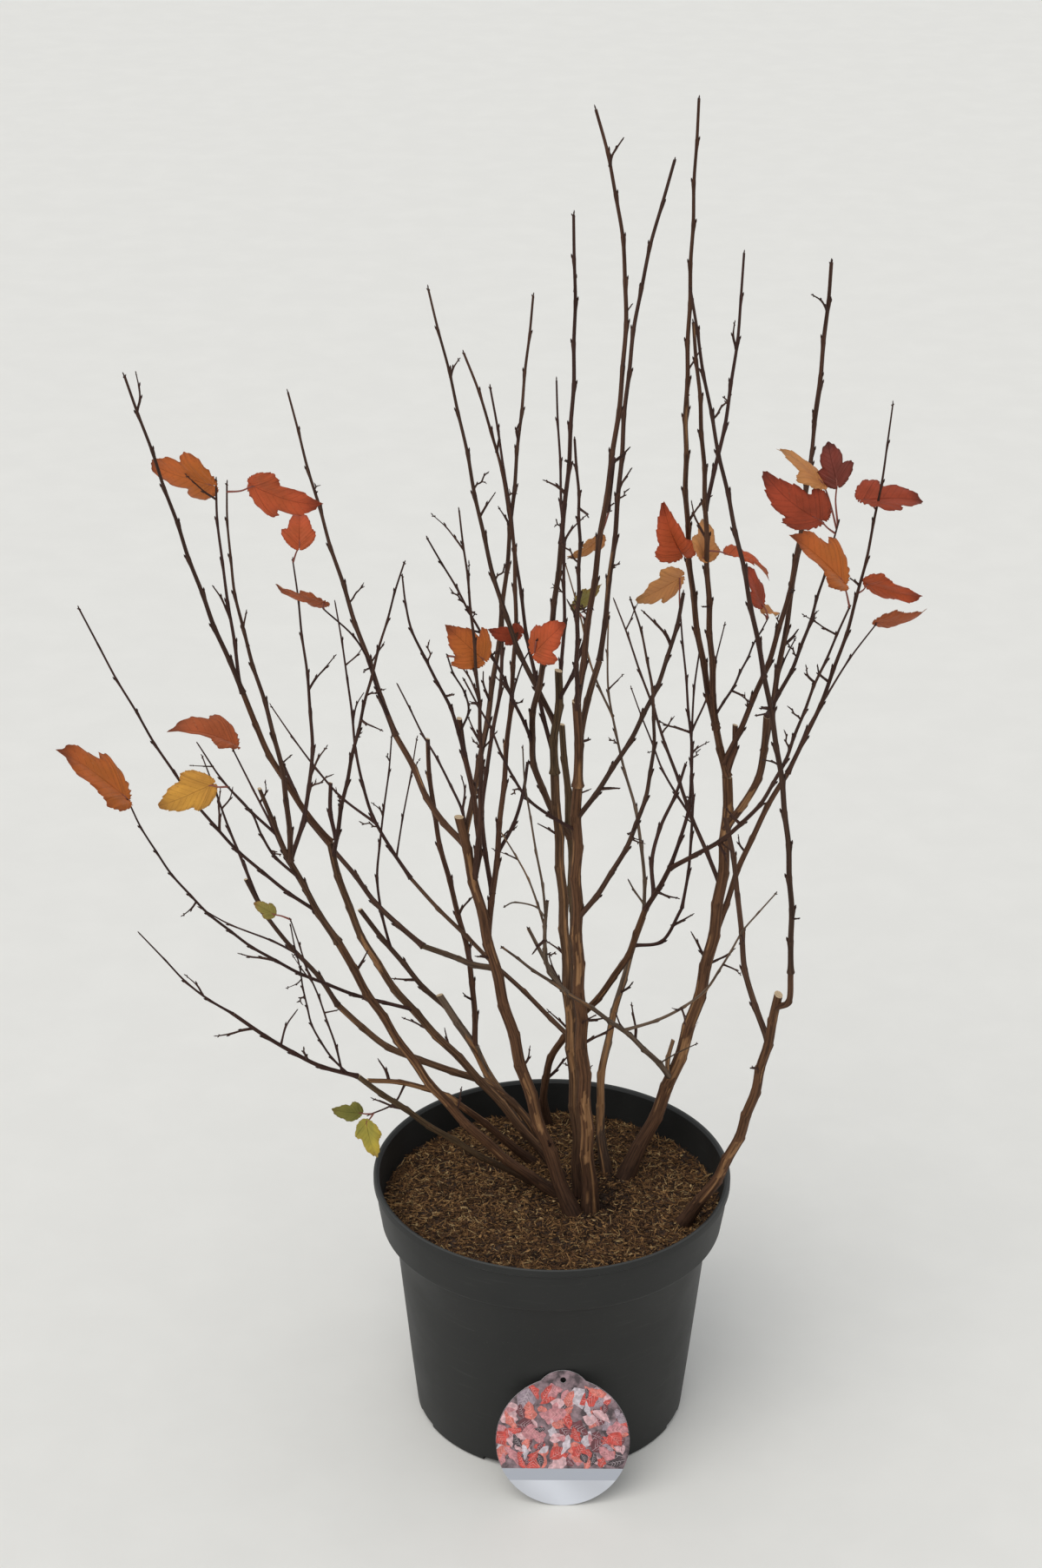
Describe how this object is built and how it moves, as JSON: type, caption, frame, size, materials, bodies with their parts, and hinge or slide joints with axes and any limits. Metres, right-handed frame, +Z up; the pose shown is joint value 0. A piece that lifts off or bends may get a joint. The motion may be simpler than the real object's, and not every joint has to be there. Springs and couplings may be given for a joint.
{
  "type": "potted ninebark shrub",
  "caption": "Upright deciduous shrub, nearly bare in late autumn, with many thin whips and a few coloured leaves, in a round black nursery pot.",
  "frame": {"origin": "centre of the pot's flat underside", "axes": "+Z up, +X to the right and -Y towards the viewer in the picture, where the label stands"},
  "size_m": [0.6276, 0.4811, 1.0451],
  "materials": {
    "pot": "matt moulded black plastic",
    "soil": "loose bark and fibre potting mix",
    "label": "printed plastic sheet",
    "bark": "peeling brown bark",
    "twigs": "thin dark twigs with a few leaves",
    "dead_twigs": "dry grey twigs"
  },
  "bodies": {
    "root": {"bough_arch": "bark", "bough_back_left": "bark", "bough_bend": "bark", "bough_far_right": "bark", "bough_front_loop": "bark", "bough_left_long": "bark", "bough_mid_side": "bark", "bough_right_fork": "bark", "cane_fan_low": "bark", "cane_fan_mid": "bark", "cane_front_right": "bark", "cane_grey": "bark", "cane_left_long": "bark", "cane_left_low": "bark", "cane_left_upright": "bark", "cane_mid_back": "bark", "cane_mid_left": "bark", "cane_mid_right": "bark", "cane_old": "bark", "cane_peeled": "bark", "cane_red_right": "bark", "cane_right": "bark", "label": "label", "pot": "pot", "soil": "soil", "spray_arch": "twigs", "spray_back_left": "twigs", "spray_back_right": "twigs", "spray_back_whip": "twigs", "spray_bend": "twigs", "spray_cross_right": "twigs", "spray_cross_thin": "twigs", "spray_dead": "dead_twigs", "spray_fan_low": "twigs", "spray_fan_mid": "twigs", "spray_far_right": "twigs", "spray_front_bowed": "twigs", "spray_front_middle": "twigs", "spray_front_right": "twigs", "spray_green_leaves": "twigs", "spray_grey": "dead_twigs", "spray_hook": "twigs", "spray_inner_left": "twigs", "spray_left_long": "twigs", "spray_left_middle": "twigs", "spray_low_left": "twigs", "spray_low_long": "twigs", "spray_mid_left": "twigs", "spray_mid_right": "twigs", "spray_mid_side": "twigs", "spray_middle": "twigs", "spray_red_low": "twigs", "spray_red_right": "twigs", "spray_red_upright": "twigs", "spray_right_leafy": "twigs", "spray_right_top": "twigs", "spray_right_twin": "twigs", "spray_upright_stub": "twigs", "spray_upright_whip": "twigs"}
  },
  "joints": []
}
